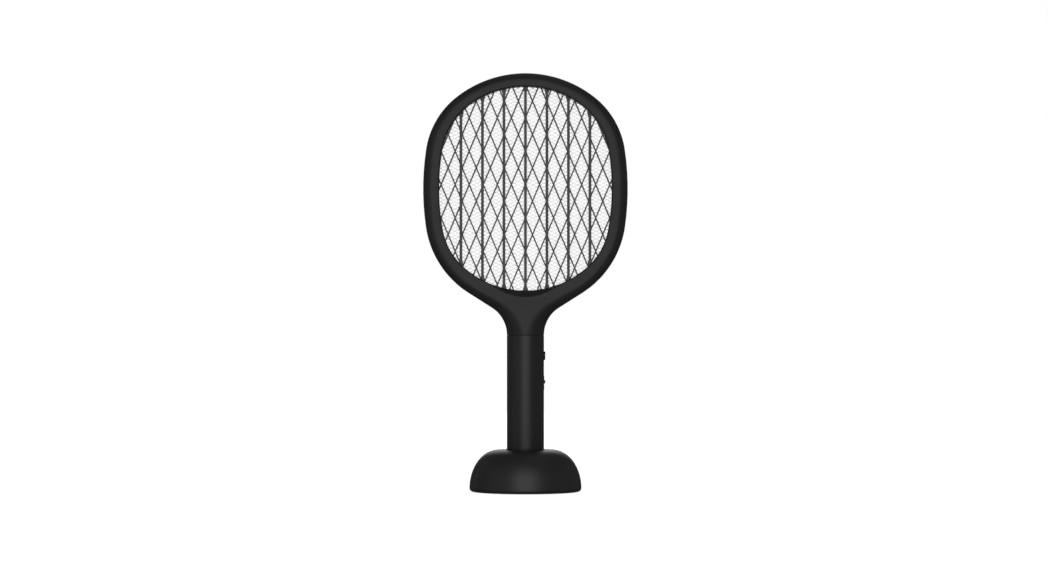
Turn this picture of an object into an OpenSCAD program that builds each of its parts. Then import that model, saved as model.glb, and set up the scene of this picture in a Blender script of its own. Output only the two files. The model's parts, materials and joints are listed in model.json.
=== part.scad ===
// Rechargeable electric fly swatter standing in its charging base.
// Millimetres, +Z up, origin on the table at the centre of the base.
// The swatter faces -Y, and its button and switch are on the +X side.

/* [Head] */
// Height of the top of the head above the table
head_top = 434.3; // [420:0.1:450]
// Depth of the ring, front to back
ring_depth = 22; // [20:0.5:26]
// Width over which the ring's outer edge is rounded
ring_edge = 9; // [7:0.5:11]
// Wall of the two frame halves
frame_wall = 2; // [1.6:0.1:2.4]
// Height of the crescent slope below the opening
crescent_drop = 5.7; // [3:0.1:7]

/* [Grids] */
// Number of upright guard bars
bar_count = 7; // [3:2:11]
// Distance between two guard bars
bar_pitch = 22.3; // [15:0.1:26]
// Width of a guard bar
bar_w = 2.8; // [1.6:0.1:4]
// Width of one diamond of the ground grille
lattice_w = 14.58; // [12:0.01:24]
// Height of one diamond of the ground grille
lattice_h = 34.64; // [24:0.01:48]
// Strand width of the ground grille
lattice_strand = 1.35; // [0.8:0.1:2]
// Width of one diamond of the high-voltage grid
mesh_w = 20; // [16:0.5:30]
// Height of one diamond of the high-voltage grid
mesh_h = 10; // [8:0.5:15]
// Strand width of the high-voltage grid
mesh_strand = 1; // [0.6:0.1:1.4]

/* [Handle] */
// Diameter of the round handle
handle_d = 38.5; // [36:0.1:42]
// Wall of the handle tube
handle_wall = 2; // [1.6:0.1:2.4]
// Diameter of the trigger button
trigger_d = 8.8; // [6:0.1:10]
// Height of the trigger button's centre above the table
trigger_z = 141.1; // [138:0.1:142]
// How far the button and the slider stand out of the handle
control_proud = 1.35; // [0.8:0.05:2]
// How far the trigger button travels
trigger_travel = 1; // [0.5:0.1:1.2]
// Height of the slide switch's mid position
switch_z = 112.85; // [108:0.05:118]
// Travel of the slide switch
switch_travel = 2.5; // [1.5:0.1:3]

/* [Base] */
// Height of the base
base_h = 43.6; // [40:0.1:48]
// Largest diameter of the base
base_d = 116.3; // [110:0.1:124]
// Radius of the flat top, where the dome begins
base_flat_r = 28.6; // [25:0.5:30]
// Wall of the base shell
base_wall = 2.2; // [1.8:0.1:2.6]
// Gap all round between handle and socket
socket_gap = 0.6; // [0.4:0.1:0.9]
// Height of the socket's floor above the table
socket_floor = 12.3; // [12:0.1:14]
// Distance of each contact pin from the centre
pin_x = 7; // [6:0.5:9]
// Travel of a contact pin
pin_travel = 1; // [0.5:0.1:1.2]

/* [Hidden] */
$fn = 96;
tiny = 0.01;

// Outlines run clockwise from the top centre; each arc is [radius, heading at its end in degrees].
head_arcs = [[115.7, 38.2], [85.2, 81.5], [277, 98.2], [97.7, 147.6]];
arc_steps = [8, 7, 7, 9];
flank_heading = 147.6;
neck_fillet_r = 33.5;
opening_top = head_top - 14.3;
open_arcs = [[98, 33], [75, 81], [245, 100], [68, 138]];

handle_r = handle_d / 2;
handle_in_r = handle_r - handle_wall;
crown = ring_depth / 2;
blend_height = 59;

// Layers of the grid stack, as distances from the middle plane
mesh_half = 0.3;
spacer_in = 0.4;
grille_in = 3.2;
guard_in = 4.2;
guard_out = 6;
stack_edge = 5;
lip_round = 1.6;

// Position reached along a list of arcs at heading a
function reach(arcs, a, i = 0, a0 = 0, p = [0, 0]) =
    i == len(arcs) ? p :
    let(a1 = min(a, arcs[i][1]))
    a1 <= a0 ? p :
    reach(arcs, a, i + 1, arcs[i][1], p + arcs[i][0] * [sin(a1) - sin(a0), cos(a1) - cos(a0)]);

// The opening's last arc closes the loop on the centre line
open_close_r = reach(open_arcs, 138)[0] / sin(138);
open_loop_arcs = concat(open_arcs, [[open_close_r, 180]]);

// A point of the opening, moved outwards by grow
function open_point(a, grow = 0) =
    [0, opening_top + grow] + reach([for (arc = open_loop_arcs) [arc[0] + grow, arc[1]]], a);
open_headings = concat(
    [for (a = [0:3:78]) a],
    [for (a = [80:1:100]) a],
    [for (a = [102:3:177]) a],
    [180]
);
function open_half(grow) = [for (a = open_headings) open_point(a, grow)];
function mirrored(half) = concat(half, [for (i = [len(half) - 2:-1:1]) [-half[i][0], half[i][1]]]);

module open_shape(grow = 0) {
    polygon(mirrored(open_half(grow)));
}

// The head's outline: arcs, a straight flank, then a hollow fillet into the neck
arcs_end = [0, head_top] + reach(head_arcs, flank_heading);
flank_dir = [cos(flank_heading), -sin(flank_heading)];
flank_length = (arcs_end[0] - neck_fillet_r * (1 - sin(flank_heading)) - handle_r) / -flank_dir[0];
flank_end = arcs_end + flank_length * flank_dir;
function fillet_point(a) =
    flank_end - neck_fillet_r * [sin(a) - sin(flank_heading), cos(a) - cos(flank_heading)];
neck_seam = fillet_point(90)[1];

// Stations down one side of the head: [outer point, heading of the outline, heading of the opening].
// The stations of the neck lie below the opening and run to the centre line instead.
flank_steps = 3;
fillet_steps = 8;
lip_fillet_steps = 2;
flank_open_heading = 167;
function station(p, a, open_a) = [p, a, open_a];
function arc_station(i, k) =
    let(a0 = i == 0 ? 0 : head_arcs[i - 1][1], a = a0 + (head_arcs[i][1] - a0) * k / arc_steps[i])
    station([0, head_top] + reach(head_arcs, a), a, a);
function fillet_station(k) =
    let(
        a = flank_heading + k / fillet_steps * (90 - flank_heading),
        f = min(1, k / lip_fillet_steps)
    ) station(fillet_point(a), a, flank_open_heading + f * (180 - flank_open_heading));
ring_stations = concat(
    [for (i = [0:3]) for (k = [0:arc_steps[i] - 1]) arc_station(i, k)],
    [for (k = [0:flank_steps - 1]) let(f = k / flank_steps)
        station(arcs_end + f * flank_length * flank_dir, flank_heading,
            flank_heading + f * (flank_open_heading - flank_heading))],
    [for (k = [0:lip_fillet_steps]) fillet_station(k)]
);
stations = concat(ring_stations, [for (k = [lip_fillet_steps + 1:fillet_steps]) fillet_station(k)]);
outline = [for (s = stations) s[0]];

// Shortest distance from a point to the outline of the same side
function to_segment(p, a, b) =
    let(d = b - a, t = max(0, min(1, (p - a) * d / (d * d)))) norm(p - a - t * d);
function edge_distance(p) =
    min([for (i = [0:len(outline) - 2]) to_segment(p, outline[i], outline[i + 1])]);

// Half depth of the head at a point: flat crown with a rounded edge, becoming the round handle below
function neck_share(z) =
    let(f = max(0, min(1, (z - neck_seam) / blend_height))) 1 - f * f * (3 - 2 * f);
function skin_height(p, inset = 0) =
    let(
        share = neck_share(p[1]),
        top = crown + share * (handle_r - crown) - inset,
        w = ring_edge + share * (handle_r - ring_edge) - inset,
        u = 1 - max(0, min(w, edge_distance(p) - inset)) / w
    ) top * sqrt(1 - u * u);

// One cross-section of a frame half, as [point, half depth]: three points on the lip, the outer skin
// out to the seam, the inner skin back from it, and the inside of the lip
skin_steps = 8;
crescent_half_w = 38;
function setback(a) = a < 90 ? 0 :
    crescent_drop * pow(max(0, 1 - pow(open_point(a)[0] / crescent_half_w, 2)), 1.5);
function skin(edge, rim, inset) = [for (j = [skin_steps:-1:0])
    let(p = rim + (edge - rim) * (1 - cos(90 * j / skin_steps)))
    [p, j == 0 ? 0 : skin_height(p, inset)]];
function backwards(list) = [for (i = [len(list) - 1:-1:0]) list[i]];
neck_steps = fillet_steps - lip_fillet_steps;
function neck_point(z_top, i) =
    [0, z_top + (neck_seam - z_top) * (i - len(ring_stations) + 1) / neck_steps];
function section(i) =
    let(
        s = stations[i],
        in_neck = i >= len(ring_stations),
        back = setback(s[2]),
        lip_edge = open_point(s[2], back + lip_round),
        lip_back = open_point(s[2], back + frame_wall),
        edge = in_neck ? neck_point(lip_edge[1], i) : lip_edge,
        edge_in = in_neck ? neck_point(lip_back[1], i) : lip_back,
        edge_h = skin_height(lip_edge),
        rim_in = s[0] - frame_wall * [sin(s[1]), cos(s[1])]
    )
    concat(
        [
            [open_point(s[2]), guard_out],
            [open_point(s[2], back + tiny), edge_h - lip_round],
            [open_point(s[2], back + 0.3 * lip_round), edge_h - 0.3 * lip_round]
        ],
        skin(edge, s[0], 0),
        backwards(skin(edge_in, rim_in, frame_wall)),
        [[open_point(s[2], frame_wall), guard_out]]
    );

// Front half of the head: a grid of quads down each side, sharing the points on the centre line
module frame_half() {
    sections = [for (i = [0:len(stations) - 1]) section(i)];
    n = len(sections);
    ring = len(ring_stations);
    m = len(sections[0]);
    first = 3;
    last = first + 2 * skin_steps + 1;
    flat_points = [for (column = sections) for (v = column) v];
    points = concat(
        [for (v = flat_points) [v[0][0], -v[1], v[0][1]]],
        [for (v = flat_points) [-v[0][0], -v[1], v[0][1]]]
    );
    function off_centre(i, j) = abs(sections[i][j][0][0]) > tiny / 10;
    function id(i, j, side) = i * m + j + (side == 1 && off_centre(i, j) ? n * m : 0);
    function quad(i, j, side) =
        let(i2 = i + 1, j2 = (j + 1) % m)
        side == 0 ? [id(i, j, side), id(i, j2, side), id(i2, j2, side), id(i2, j, side)]
            : [id(i, j, side), id(i2, j, side), id(i2, j2, side), id(i, j2, side)];
    function cap(q, side) =
        let(a = first + q, b = last - q, v = [id(n - 1, a, side), id(n - 1, a + 1, side),
            id(n - 1, b - 1, side), id(n - 1, b, side)])
        side == 0 ? v : backwards(v);
    faces = [for (side = [0, 1]) each concat(
        [for (i = [0:ring - 2]) for (j = [0:m - 1]) quad(i, j, side)],
        [for (i = [ring - 1:n - 2]) for (j = [first:last - 1]) quad(i, j, side)],
        [for (q = [0:skin_steps - 1]) cap(q, side)]
    )];
    polyhedron(points, faces, convexity = 6);
}

// Screws that clamp the two frame halves, seen from behind
screw_headings = [42, 66, 92, 124];
screw_grow = 8.6;
boss_r = 3;
boss_top = 9.2;
screw_seat = 6;
screw_head_r = 2.3;
thread_r = 1.05;
thread_depth = 5.5;
module at_frame_screws() {
    for (side = [-1, 1], a = screw_headings) {
        p = open_point(a, screw_grow);
        translate([side * p[0], 0, p[1]]) rotate([-90, 0, 0]) children();
    }
}

module front_frame() {
    color("#2c2c2e") difference() {
        union() {
            frame_half();
            at_frame_screws() translate([0, 0, -boss_top]) cylinder(r = boss_r, h = boss_top);
        }
        at_frame_screws() translate([0, 0, -thread_depth - 0.5])
            cylinder(r = thread_r, h = thread_depth + 1);
    }
}

module rear_frame() {
    color("#2c2c2e") difference() {
        union() {
            mirror([0, 1, 0]) frame_half();
            at_frame_screws() cylinder(r = boss_r, h = boss_top);
        }
        at_frame_screws() {
            translate([0, 0, -0.5]) cylinder(r = 1.4, h = boss_top);
            translate([0, 0, screw_seat]) cylinder(r = screw_head_r + 0.2, h = 8);
        }
    }
}

module frame_screws() {
    color("#8c8f93") at_frame_screws() difference() {
        union() {
            translate([0, 0, -thread_depth]) cylinder(r = thread_r, h = thread_depth + tiny);
            cylinder(r = 1.3, h = screw_seat + tiny);
            translate([0, 0, screw_seat]) cylinder(r1 = screw_head_r, r2 = 1.9, h = 1.8);
        }
        for (turn = [0, 90]) translate([0, 0, screw_seat + 1.3]) rotate(turn)
            cube([2.8, 0.6, 1.4], center = true);
    }
}

// Upright sheet cut to the opening's outline, between two distances from the middle plane
module sheet(y0, y1) {
    translate([0, y1, 0]) rotate([90, 0, 0]) linear_extrude(y1 - y0) children();
}

// Where an upright at x meets the top and bottom of the opening
function open_top_at(x) = lookup(abs(x), [for (a = [0:2:88]) open_point(a)]);
function open_bottom_at(x) = lookup(abs(x), [for (a = [180:-2:92]) open_point(a)]);

module guard_bar(x) {
    w = bar_w / 2;
    high = open_top_at(x);
    low = open_bottom_at(x);
    flare = 1.3;
    polygon([
        [x - w - flare, high + 2], [x - w - flare, high], [x - w, high - 5],
        [x - w, low + 5], [x - w - flare, low], [x - w - flare, low - 2],
        [x + w + flare, low - 2], [x + w + flare, low], [x + w, low + 5],
        [x + w, high - 5], [x + w + flare, high], [x + w + flare, high + 2]
    ]);
}

module rib_guard(y0, y1) {
    half_count = (bar_count - 1) / 2;
    sheet(y0, y1) difference() {
        open_shape(stack_edge);
        open_shape(0.3);
    }
    for (i = [-half_count:half_count]) sheet(y0, y1) guard_bar(i * bar_pitch);
}

module front_rib_guard() {
    color("#4a4a4b") rib_guard(-guard_out, -guard_in);
}

module rear_rib_guard() {
    color("#4a4a4b") rib_guard(guard_in, guard_out);
}

// Expanded sheet: diamonds of w by h on a staggered pitch, with strands of the given width
module expanded(w, h, strand, z0, border) {
    slope = atan2(h, w);
    hole_x = w / 2 - strand / 2 / sin(slope);
    hole_z = h / 2 - strand / 2 / cos(slope);
    columns = ceil(190 / w);
    row_count = ceil(120 / h);
    difference() {
        open_shape(stack_edge);
        intersection() {
            open_shape(border);
            for (i = [-columns:columns], j = [-row_count:row_count]) {
                x = i * w / 2;
                z = z0 + j * h + (i % 2 == 0 ? 0 : h / 2);
                if (norm([x / 95, (z - 314) / 112]) < 1)
                    translate([x, z])
                        polygon([[hole_x, 0], [0, hole_z], [-hole_x, 0], [0, -hole_z]]);
            }
        }
    }
}

// A crossing of the ground grille lies on the centre line at this height
lattice_cross_z = 318.7;

module ground_grille() {
    expanded(lattice_w, lattice_h, lattice_strand, lattice_cross_z + lattice_h / 2, 2);
}

module front_grille() {
    color("#2f2f31") sheet(-guard_in, -grille_in) ground_grille();
}

module rear_grille() {
    color("#2f2f31") sheet(grille_in, guard_in) ground_grille();
}

module hv_grid() {
    color("#d9dadb") sheet(-mesh_half, mesh_half) expanded(mesh_w, mesh_h, mesh_strand, 314, 1.5);
}

module spacer_ring() {
    difference() {
        open_shape(stack_edge);
        open_shape(0.6);
    }
}

module front_spacer() {
    color("#3a3a3c") sheet(-grille_in, -spacer_in) spacer_ring();
}

module rear_spacer() {
    color("#3a3a3c") sheet(spacer_in, grille_in) spacer_ring();
}

module tube(r_out, r_in, z0, z1) {
    translate([0, 0, z0]) difference() {
        cylinder(r = r_out, h = z1 - z0);
        translate([0, 0, -1]) cylinder(r = r_in, h = z1 - z0 + 2);
    }
}

spigot_r = handle_in_r - 0.35;
spigot_low = neck_seam - 14;
module neck_spigot() {
    color("#3a3a3c") tube(spigot_r, spigot_r - 1.9, spigot_low, neck_seam + 4);
}

// One lead to each ground grille and one to the high-voltage grid
lead_low = 139;
lead_high = open_point(180, stack_edge)[1] - 0.1;
module grid_leads() {
    color("#a03028") for (y = [-3.7, 0, 3.7])
        translate([-3, y, lead_low]) cylinder(r = 0.8, h = lead_high - lead_low);
}

// Handle
cap_z = 12.6;
tube_low = cap_z + 2;
tube_high = neck_seam - 0.2;
control_x = handle_r + control_proud;
plate_h = 14.5;
plate_w = 8;
knob_h = 3.6;
knob_w = 3.4;
knob_z = switch_z + switch_travel / 2;
pipe_z = 127.5;
pipe_r = 1.5;
cap_screw_z = 17;
cap_screw_r = 0.9;

// Places a shape that is drawn across X so that its Y runs up, on the +X side
module facing_x(x0, x1) {
    translate([x0, 0, 0]) rotate([90, 0, 90]) linear_extrude(x1 - x0) children();
}

module slot_2d(w, h, z) {
    translate([0, z]) {
        square([w, h - w], center = true);
        for (side = [-1, 1]) translate([0, side * (h - w) / 2]) circle(d = w);
    }
}

module handle_tube() {
    color("#303032") difference() {
        tube(handle_r, handle_in_r, tube_low, tube_high);
        facing_x(10, 25) translate([0, trigger_z]) circle(d = trigger_d + 0.6);
        facing_x(10, 25) slot_2d(plate_w, plate_h, switch_z);
        facing_x(10, 25) translate([0, pipe_z]) circle(r = pipe_r + 0.05);
        for (side = [-1, 1]) translate([0, side * 25, cap_screw_z]) rotate([side * 90, 0, 0])
            cylinder(r = cap_screw_r + 0.3, h = 12);
    }
}

module switch_plate() {
    color("#262627") difference() {
        intersection() {
            tube(handle_r + 0.3, handle_in_r + 0.1, 100, 126);
            facing_x(10, 25) slot_2d(plate_w - 0.1, plate_h - 0.1, switch_z);
        }
        facing_x(10, 25) translate([0, switch_z])
            square([knob_w + 0.6, knob_h + switch_travel + 0.6], center = true);
    }
}

carrier_x = 15;
carrier_t = 1.5;
module mode_slider() {
    color("#1f1f20") {
        translate([carrier_x, -4, knob_z - 4.5]) cube([carrier_t, 8, 9]);
        difference() {
            translate([carrier_x, -knob_w / 2, knob_z - knob_h / 2])
                cube([control_x - carrier_x, knob_w, knob_h]);
            for (dz = [-0.9, 0, 0.9]) translate([control_x, 0, knob_z + dz]) rotate([0, 45, 0])
                cube([0.35, knob_w + 1, 0.35], center = true);
        }
    }
}

// Controls on the board behind the +X wall
board_x = 3;
board_t = 1.6;
board_face = board_x + board_t;
board_low = 93;
board_high = 145;
board_w = 26;
lever_end = 8;
lever_w = 1.5;
module switch_lever() {
    color("#e8e8e6") translate([lever_end, -lever_w / 2, knob_z - lever_w / 2])
        cube([carrier_x - lever_end, lever_w, lever_w]);
}

module slide_switch() {
    color("#b9bcc0") difference() {
        translate([board_face, -2.2, switch_z - 6]) cube([5, 4.4, 12]);
        translate([lever_end - 0.3, -1.1, switch_z - 2.4]) cube([5, 2.2, 4.8]);
    }
}

flange_x = 14.6;
plunger_in = 6.6;
plunger_r = 1.7;
module trigger_button() {
    color("#1f1f20") translate([0, 0, trigger_z]) rotate([0, 90, 0]) {
        translate([0, 0, flange_x]) cylinder(d = trigger_d + 2, h = 1.4);
        translate([0, 0, flange_x]) cylinder(d = trigger_d, h = control_x - flange_x - 0.5);
        translate([0, 0, control_x - 0.5]) cylinder(d1 = trigger_d, d2 = trigger_d - 1, h = 0.5);
    }
}

module switch_plunger() {
    color("#c8a24a") translate([plunger_in, 0, trigger_z]) rotate([0, 90, 0])
        cylinder(r = plunger_r, h = flange_x - plunger_in);
}

module push_switch() {
    color("#b9bcc0") difference() {
        translate([board_face, -3, trigger_z - 3]) cube([3.5, 6, 6]);
        translate([plunger_in - trigger_travel - 0.3, 0, trigger_z]) rotate([0, 90, 0])
            cylinder(r = plunger_r + 0.2, h = 6);
    }
}

pipe_in = 8;
module light_pipe() {
    color("#dfe6ea") translate([pipe_in, 0, pipe_z]) rotate([0, 90, 0])
        cylinder(r = pipe_r, h = handle_r - 0.1 - pipe_in);
}

chassis_low = 19.2;
disc_t = 1.6;
mid_disc = 90.2;
top_disc = 146.5;
cell_r = 9.2;
cell_low = 24;
cell_high = 88.2;
module handle_chassis() {
    color("#4c4c4e") difference() {
        union() {
            for (z = [chassis_low, mid_disc, top_disc])
                translate([0, 0, z]) cylinder(r = spigot_r, h = disc_t);
            difference() {
                tube(cell_r + 2, cell_r + 0.4, chassis_low + 1, mid_disc + 1);
                translate([-20, -20, chassis_low + disc_t])
                    cube([40, 17, mid_disc - chassis_low - disc_t]);
            }
            for (side = [-1, 1]) translate([board_x - 1.2, side * 13.7 - 1.5, mid_disc + 1])
                cube([board_t + 2.4, 3, top_disc - mid_disc]);
        }
        translate([board_x - 0.1, -board_w / 2 - 0.1, mid_disc + disc_t])
            cube([board_t + 0.2, board_w + 0.2, top_disc - mid_disc - disc_t]);
        translate([-3, 0, top_disc - 1]) cylinder(r = 6, h = 4);
    }
}

module battery_cell() {
    color("#3f6f9f") {
        translate([0, 0, cell_low]) cylinder(r = cell_r, h = cell_high - cell_low);
        translate([0, 0, cell_high]) cylinder(r = 2.8, h = 1);
    }
}

module battery_spring() {
    color("#c9ccd0") for (k = [0:3]) translate([0, 0, chassis_low + disc_t + 0.4 + 0.8 * k])
        rotate_extrude() translate([6.4 - 0.8 * k, 0]) circle(r = 0.4, $fn = 24);
}

module battery_contact() {
    color("#c9ccd0") translate([-5, -4, cell_high + 1]) cube([10, 8, mid_disc - cell_high - 1]);
}

module main_board() {
    color("#1f5b3a") difference() {
        translate([board_x, -board_w / 2, board_low])
            cube([board_t, board_w, board_high - board_low]);
        for (y = [-10, 10], z = [board_low + 3, board_high - 3])
            translate([board_x - 1, y, z]) rotate([0, 90, 0]) cylinder(r = 1.1, h = board_t + 2);
    }
}

module hv_transformer() {
    color("#c8b24a") difference() {
        translate([board_x - 12, -8, 105]) cube([12, 16, 16]);
        for (side = [-1, 1]) translate([board_x - 9.5, side * 8, 104])
            cube([7, 4, 40], center = true);
    }
}

module hv_capacitors() {
    color("#8a3b2a") for (y = [-7, 7])
        translate([board_x - 9, y - 3, 124]) cube([9, 6, 13]);
}

module hv_diodes() {
    color("#222222") for (y = [-4.5, -1.5, 1.5, 4.5])
        translate([board_x - 1.5, y, 139.5]) cylinder(r = 1.2, h = 4.5);
}

module drive_transistor() {
    color("#222222") translate([board_x - 4.4, 0, 96]) difference() {
        cylinder(r = 4.2, h = 5);
        translate([2.2, -5, -1]) cube([5, 10, 7]);
    }
}

pad_r = 3.2;
cap_screw_in = 15.6;
module end_cap() {
    color("#303032") difference() {
        union() {
            translate([0, 0, cap_z]) cylinder(r = handle_r, h = 2);
            tube(handle_in_r - 0.1, handle_in_r - 1.9, cap_z + 1, chassis_low - 0.2);
        }
        for (side = [-1, 1]) {
            translate([side * pin_x, 0, cap_z - 1]) cylinder(r = pad_r + 0.1, h = 2);
            translate([0, side * 20, cap_screw_z]) rotate([side * 90, 0, 0])
                cylinder(r = cap_screw_r, h = 8);
        }
    }
}

module contact_pads() {
    color("#d1b25a") for (side = [-1, 1]) translate([side * pin_x, 0, cap_z])
        cylinder(r = pad_r, h = 1);
}

module cap_screws() {
    color("#8c8f93") for (side = [-1, 1])
        translate([0, side * cap_screw_in, cap_screw_z]) rotate([-side * 90, 0, 0])
            cylinder(r = cap_screw_r, h = handle_r - cap_screw_in - 0.1);
}

// Base: a dome over a shallow tray
base_r = base_d / 2;
base_belt = 3.6;
shell_low = 3.4;
tray_low = 0.15;
tray_edge_w = 4.6;
seam_gap = 0.3;
tray_top = 2.6;
pad_h = 1.2;
pad_ring_r = 48;
socket_r = handle_r + socket_gap;
cup_r = socket_r + 1.8;
cup_low = socket_floor - 2;

// Quarter ellipse of the dome, from its belt to its flat top, moved inwards by inset
function dome(inset) =
    let(spread = base_r - base_flat_r - inset, rise = base_h - base_belt - inset)
    [for (a = [0:6:90]) [base_flat_r + spread * cos(a), base_belt + rise * sin(a)]];

boss_ring_r = 47;
boss_low = 7;
module at_base_screws() {
    for (a = [45:90:315]) rotate(a) translate([boss_ring_r, 0, 0]) children();
}

port_w = 9;
port_h = 3.2;
port_z = 8.6;
module base_shell() {
    color("#232325") difference() {
        union() {
            rotate_extrude($fn = 128) polygon(concat(
                [[base_r, shell_low]],
                dome(0),
                [[socket_r, base_h], [socket_r, base_h - base_wall]],
                backwards(dome(base_wall)),
                [[base_r - base_wall, shell_low]]
            ));
            at_base_screws() translate([0, 0, boss_low]) cylinder(r = 3, h = 22);
        }
        at_base_screws() translate([0, 0, 6]) cylinder(r = 1.2, h = 12);
        translate([-port_w / 2 - 0.3, 50, port_z - 0.3]) cube([port_w + 0.6, 12, port_h + 0.6]);
    }
}

// Rounded lower edge of the tray, from its flat underside up to the gap below the shell
tray_r = base_r - 0.2;
tray_rim = shell_low - seam_gap;
rim_wall_r = base_r - base_wall - 0.3;
function tray_edge() = [for (a = [0:15:90])
    [tray_r - tray_edge_w * (1 - sin(a)), tray_low + (tray_rim - tray_low) * (1 - cos(a))]];

module base_plate() {
    color("#232325") difference() {
        union() {
            rotate_extrude($fn = 128) polygon(concat(
                [[0, tray_low]],
                tray_edge(),
                [[rim_wall_r - 0.1, tray_rim], [rim_wall_r - 0.1, tray_top], [0, tray_top]]
            ));
            tube(rim_wall_r, rim_wall_r - 1.6, tray_top - tiny, 6.5);
            at_base_screws() translate([0, 0, 1]) cylinder(r = 3, h = boss_low - 1);
            for (side = [-1, 1]) translate([side * 7, 44, 1]) cylinder(r = 2, h = boss_low - 1);
        }
        at_base_screws() {
            translate([0, 0, -1]) cylinder(r = 1.4, h = 9);
            translate([0, 0, -1]) cylinder(r = 2.6, h = 4.2);
        }
        translate([0, 0, -1]) cylinder(r = pad_ring_r + 0.2, h = 1 + pad_h);
        translate([-6, 50, 4]) cube([12, 12, 5]);
    }
}

module foot_pad() {
    color("#19191a") cylinder(r = pad_ring_r, h = pad_h);
}

module base_screws() {
    color("#8c8f93") at_base_screws() {
        translate([0, 0, pad_h + 0.2]) cylinder(r = 2.4, h = 1.6);
        translate([0, 0, pad_h + 1]) cylinder(r = 1.2, h = 14);
    }
}

module socket_cup() {
    color("#2a2a2c") difference() {
        union() {
            tube(cup_r, socket_r, cup_low, base_h - base_wall);
            translate([0, 0, cup_low]) cylinder(r = socket_r + tiny, h = 2);
        }
        for (side = [-1, 1]) translate([side * pin_x, 0, cup_low - 1]) cylinder(r = 1.5, h = 4);
    }
}

pin_r = 1.2;
pin_high = cap_z - 0.1;
flange_top = cup_low - 1.7;
flange_t = 0.8;
tip_h = 0.6;
spring_low = tray_top + 1.4;
module pin_housing() {
    color("#3a3a3c") difference() {
        translate([0, 0, tray_top]) cylinder(r = 12.5, h = cup_low - tray_top);
        for (side = [-1, 1]) translate([side * pin_x, 0, 0]) {
            translate([0, 0, spring_low]) cylinder(r = 2.3, h = flange_top + 0.05 - spring_low);
            translate([0, 0, spring_low]) cylinder(r = 1.5, h = 10);
        }
    }
}

module contact_pin(side) {
    color("#d1b25a") translate([side * pin_x, 0, 0]) {
        translate([0, 0, flange_top - flange_t]) cylinder(r = 2, h = flange_t);
        translate([0, 0, flange_top - flange_t])
            cylinder(r = pin_r, h = pin_high - tip_h - flange_top + flange_t);
        translate([0, 0, pin_high - tip_h]) cylinder(r1 = pin_r, r2 = 0.7, h = tip_h);
    }
}

module left_pin() {
    contact_pin(-1);
}

module right_pin() {
    contact_pin(1);
}

// Three coils that fill the space under a pin's flange
module pin_spring(side) {
    rise = (flange_top - flange_t - spring_low) / 3;
    color("#c9ccd0") for (k = [0:2]) translate([side * pin_x, 0, spring_low + rise * (k + 0.5)])
        rotate_extrude() translate([1.6, 0]) circle(r = 0.25, $fn = 24);
}

module left_pin_spring() {
    pin_spring(-1);
}

module right_pin_spring() {
    pin_spring(1);
}

module charge_board() {
    color("#1f5b3a") translate([-10, 41, 7]) cube([20, 14, 1.6]);
}

module charge_port() {
    color("#b9bcc0") difference() {
        translate([-port_w / 2, 49.6, port_z]) cube([port_w, 7.6, port_h]);
        translate([-port_w / 2 + 0.4, 51, port_z + 0.4]) cube([port_w - 0.8, 10, port_h - 0.8]);
    }
}

module ballast_ring() {
    color("#6f7275") tube(40, 24, tray_top, 8.6);
}

front_frame();
rear_frame();
front_rib_guard();
rear_rib_guard();
front_grille();
rear_grille();
hv_grid();
front_spacer();
rear_spacer();
frame_screws();
neck_spigot();
grid_leads();
handle_tube();
handle_chassis();
battery_cell();
battery_spring();
battery_contact();
main_board();
hv_transformer();
hv_capacitors();
hv_diodes();
drive_transistor();
push_switch();
slide_switch();
switch_plate();
light_pipe();
end_cap();
contact_pads();
cap_screws();
trigger_button();
switch_plunger();
mode_slider();
switch_lever();
base_shell();
base_plate();
socket_cup();
pin_housing();
charge_board();
charge_port();
ballast_ring();
foot_pad();
base_screws();
left_pin_spring();
right_pin_spring();
left_pin();
right_pin();
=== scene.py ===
import json
from math import atan2, ceil, cos, degrees, hypot, pi, radians, sin, sqrt, tan

import bmesh
import bpy
from mathutils import Matrix, Vector


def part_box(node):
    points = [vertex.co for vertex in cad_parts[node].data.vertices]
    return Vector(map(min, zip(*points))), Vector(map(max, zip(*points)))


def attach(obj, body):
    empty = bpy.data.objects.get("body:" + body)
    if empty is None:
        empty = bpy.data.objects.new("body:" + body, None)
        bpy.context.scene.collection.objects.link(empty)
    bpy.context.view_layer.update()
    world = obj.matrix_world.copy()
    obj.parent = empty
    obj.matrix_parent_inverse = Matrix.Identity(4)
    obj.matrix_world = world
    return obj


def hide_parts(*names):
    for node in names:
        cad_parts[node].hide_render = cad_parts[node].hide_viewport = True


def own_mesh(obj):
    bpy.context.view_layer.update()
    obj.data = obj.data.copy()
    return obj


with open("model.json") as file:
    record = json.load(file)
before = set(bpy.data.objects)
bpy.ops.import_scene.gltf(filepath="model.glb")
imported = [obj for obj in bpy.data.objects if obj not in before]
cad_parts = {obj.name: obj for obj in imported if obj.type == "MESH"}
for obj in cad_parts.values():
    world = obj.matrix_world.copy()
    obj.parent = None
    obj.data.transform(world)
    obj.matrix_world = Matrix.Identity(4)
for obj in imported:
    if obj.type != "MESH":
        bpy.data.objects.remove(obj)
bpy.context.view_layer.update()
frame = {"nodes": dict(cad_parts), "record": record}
scene = bpy.context.scene
record = frame["record"]
nodes = frame["nodes"]
bodyOf = {node: body for body, names in record["behaviour"]["bodies"].items() for node in names}
slotOf = {part["node"]: part["material_slot"] for part in record["subparts"]}
mm = 0.001
print("frame loaded:", len(nodes), "nodes")


def boxMm(node):
    low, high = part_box(node)
    return low / mm, high / mm


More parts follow.
